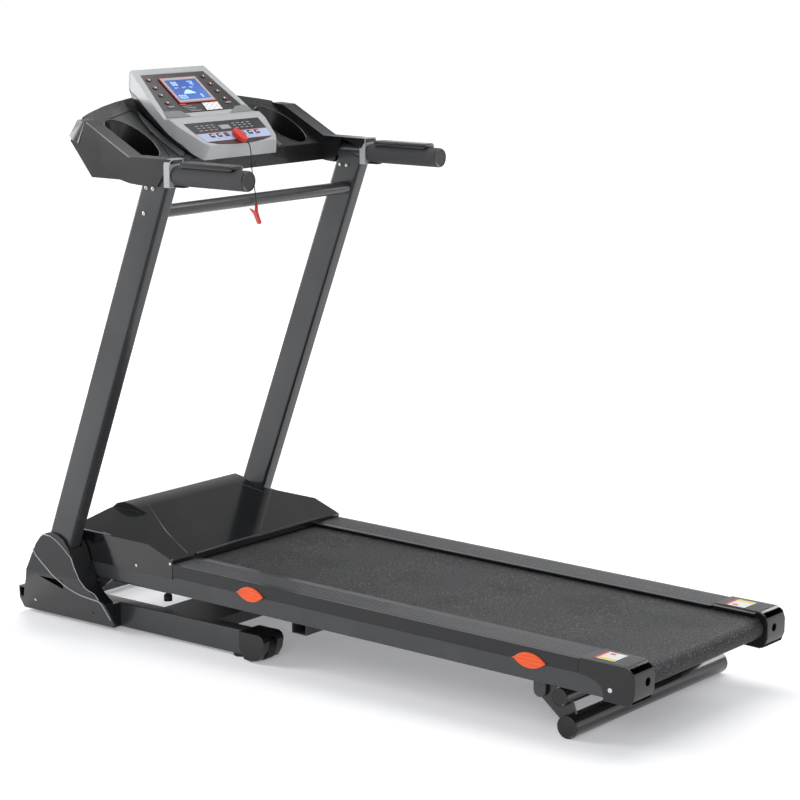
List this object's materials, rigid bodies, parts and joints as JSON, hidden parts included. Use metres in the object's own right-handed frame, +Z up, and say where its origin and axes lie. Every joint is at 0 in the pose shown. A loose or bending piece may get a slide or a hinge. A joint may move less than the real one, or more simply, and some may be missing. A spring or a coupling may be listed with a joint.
{
  "type": "treadmill",
  "caption": "Folding motor treadmill with a leaning pair of uprights, console with display, cup wells, pulse-plate handlebars, corded stop key and an incline leg.",
  "frame": {"origin": "on the floor under the middle of the machine's length and width", "axes": "+X towards the end where the user steps on, -Y the user's left hand when facing the console, +Z up"},
  "size_m": [1.6728, 0.696, 1.24],
  "materials": {
    "frame_paint": "charcoal semi-gloss powder coat",
    "black_plastic": "fine moulded texture",
    "gloss_black": "polished",
    "silver_plastic": "silver-grey satin paint",
    "rubber": "matt",
    "grip_foam": "closed-cell foam",
    "belt": "woven, speckled grey",
    "chrome": "polished",
    "bare_steel": "turned",
    "deck_board": "phenolic-faced board",
    "display_lens": "backlit blue",
    "red_plastic": "moulded",
    "cast_aluminium": "as cast"
  },
  "bodies": {
    "base": {"base_side_tube_left": "frame_paint", "base_side_tube_right": "frame_paint", "base_front_cross_tube": "frame_paint", "base_rear_cross_tube": "frame_paint", "pivot_bracket_left": "frame_paint", "pivot_bracket_right": "frame_paint", "upright_left": "frame_paint", "upright_right": "frame_paint", "crossbar": "frame_paint", "base_foot_front_left": "rubber", "base_foot_front_right": "rubber", "base_foot_rear_left": "rubber", "base_foot_rear_right": "rubber", "base_cover_left": "black_plastic", "base_cover_right": "black_plastic", "base_end_cap_left": "black_plastic", "base_end_cap_right": "black_plastic", "dash_tray": "black_plastic", "console_back_cover": "black_plastic", "console_faceplate": "gloss_black", "console_housing": "silver_plastic", "grip_left": "grip_foam", "grip_right": "grip_foam", "pulse_grip_left": "chrome", "pulse_grip_right": "chrome", "display": "display_lens"},
    "deck": {"deck_side_tube_left": "frame_paint", "deck_side_tube_right": "frame_paint", "deck_cross_tube": "frame_paint", "deck_board": "deck_board", "side_rail_left": "black_plastic", "side_rail_right": "black_plastic", "running_belt": "belt", "drive_belt": "rubber", "motor": "black_plastic", "motor_controller": "cast_aluminium", "belly_pan": "black_plastic", "motor_hood": "gloss_black", "power_inlet": "black_plastic", "rear_cap_left": "black_plastic", "rear_cap_right": "black_plastic"},
    "front_drum": {"front_roller": "bare_steel"},
    "rear_drum": {"rear_roller": "bare_steel"},
    "motor_rotor": {"motor_shaft": "bare_steel"},
    "rocker": {"power_switch": "red_plastic"},
    "leg": {"incline_leg": "frame_paint"},
    "strut_barrel": {"strut_cylinder": "black_plastic"},
    "strut_piston": {"strut_rod": "chrome"},
    "wheel_left": {"transport_wheel_left": "rubber"},
    "wheel_right": {"transport_wheel_right": "rubber"},
    "stop_key": {"safety_key": "red_plastic", "key_cord": "black_plastic", "clip_jaw_fixed": "red_plastic"},
    "clip_lever": {"clip_jaw_moving": "red_plastic"},
    "button_1": {"console_button_1": "black_plastic"},
    "button_2": {"console_button_2": "black_plastic"},
    "button_3": {"console_button_3": "black_plastic"},
    "button_4": {"console_button_4": "black_plastic"},
    "button_5": {"console_button_5": "black_plastic"},
    "button_6": {"console_button_6": "black_plastic"}
  },
  "joints": [
    {"name": "deck_fold", "type": "hinge", "parent": "base", "child": "deck", "pos_m": [-0.60586, 0, 0.108], "axis": [0, -1, 0], "range_deg": [0, 65]},
    {"name": "incline_leg_fold", "type": "hinge", "parent": "deck", "child": "leg", "pos_m": [0.60394, 0, 0.0821], "axis": [0, 1, 0], "range_deg": [0, 138]},
    {"name": "strut_swing", "type": "hinge", "parent": "base", "child": "strut_barrel", "pos_m": [-0.38936, 0, 0.072], "axis": [0, -1, 0], "range_deg": [0, 84]},
    {"name": "strut_extend", "type": "slide", "parent": "strut_barrel", "child": "strut_piston", "axis": [0.9999, 0, 0.0172], "range_m": [0, 0.1905]},
    {"name": "front_roller_spin", "type": "hinge", "parent": "deck", "child": "front_drum", "pos_m": [-0.44018, 0, 0.1536], "axis": [0, 1, 0], "continuous": true},
    {"name": "rear_roller_spin", "type": "hinge", "parent": "deck", "child": "rear_drum", "pos_m": [0.80269, 0, 0.1356], "axis": [0, 1, 0], "continuous": true},
    {"name": "motor_spin", "type": "hinge", "parent": "deck", "child": "motor_rotor", "pos_m": [-0.63463, 0, 0.19343], "axis": [0, 1, 0], "continuous": true},
    {"name": "power_switch_rock", "type": "hinge", "parent": "deck", "child": "rocker", "pos_m": [-0.67829, 0.18825, 0.18236], "axis": [0, 1, 0], "range_deg": [0, 12]},
    {"name": "transport_wheel_left_spin", "type": "hinge", "parent": "base", "child": "wheel_left", "pos_m": [-0.13586, -0.247, 0.0285], "axis": [0, 1, 0], "continuous": true},
    {"name": "transport_wheel_right_spin", "type": "hinge", "parent": "base", "child": "wheel_right", "pos_m": [-0.13586, 0.247, 0.0285], "axis": [0, 1, 0], "continuous": true},
    {"name": "button_1_press", "type": "slide", "parent": "base", "child": "button_1", "axis": [-0.5549, 0, -0.8319], "range_m": [0, 0.0012], "stiffness_N_per_m": 250},
    {"name": "button_2_press", "type": "slide", "parent": "base", "child": "button_2", "axis": [-0.5549, 0, -0.8319], "range_m": [0, 0.0012], "stiffness_N_per_m": 250},
    {"name": "button_3_press", "type": "slide", "parent": "base", "child": "button_3", "axis": [-0.5549, 0, -0.8319], "range_m": [0, 0.0012], "stiffness_N_per_m": 250},
    {"name": "button_4_press", "type": "slide", "parent": "base", "child": "button_4", "axis": [-0.5549, 0, -0.8319], "range_m": [0, 0.0012], "stiffness_N_per_m": 250},
    {"name": "button_5_press", "type": "slide", "parent": "base", "child": "button_5", "axis": [-0.5549, 0, -0.8319], "range_m": [0, 0.0012], "stiffness_N_per_m": 250},
    {"name": "button_6_press", "type": "slide", "parent": "base", "child": "button_6", "axis": [-0.5549, 0, -0.8319], "range_m": [0, 0.0012], "stiffness_N_per_m": 250},
    {"name": "safety_key_pull", "type": "slide", "parent": "base", "child": "stop_key", "axis": [0.5549, 0, 0.8319], "range_m": [0, 0.025]},
    {"name": "clip_open", "type": "hinge", "parent": "stop_key", "child": "clip_lever", "pos_m": [-0.33336, -0.0333, 0.9348], "axis": [-1, 0, 0], "range_deg": [0, 18], "stiffness_Nm_per_rad": 0.05}
  ],
  "couplings": [
    {"joint": "strut_swing", "follows": "deck_fold", "ratio": 1.2909},
    {"joint": "strut_extend", "follows": "deck_fold", "m_per_rad": 0.16693},
    {"joint": "rear_roller_spin", "follows": "front_roller_spin", "ratio": 1},
    {"joint": "motor_spin", "follows": "front_roller_spin", "ratio": 2.4286}
  ]
}
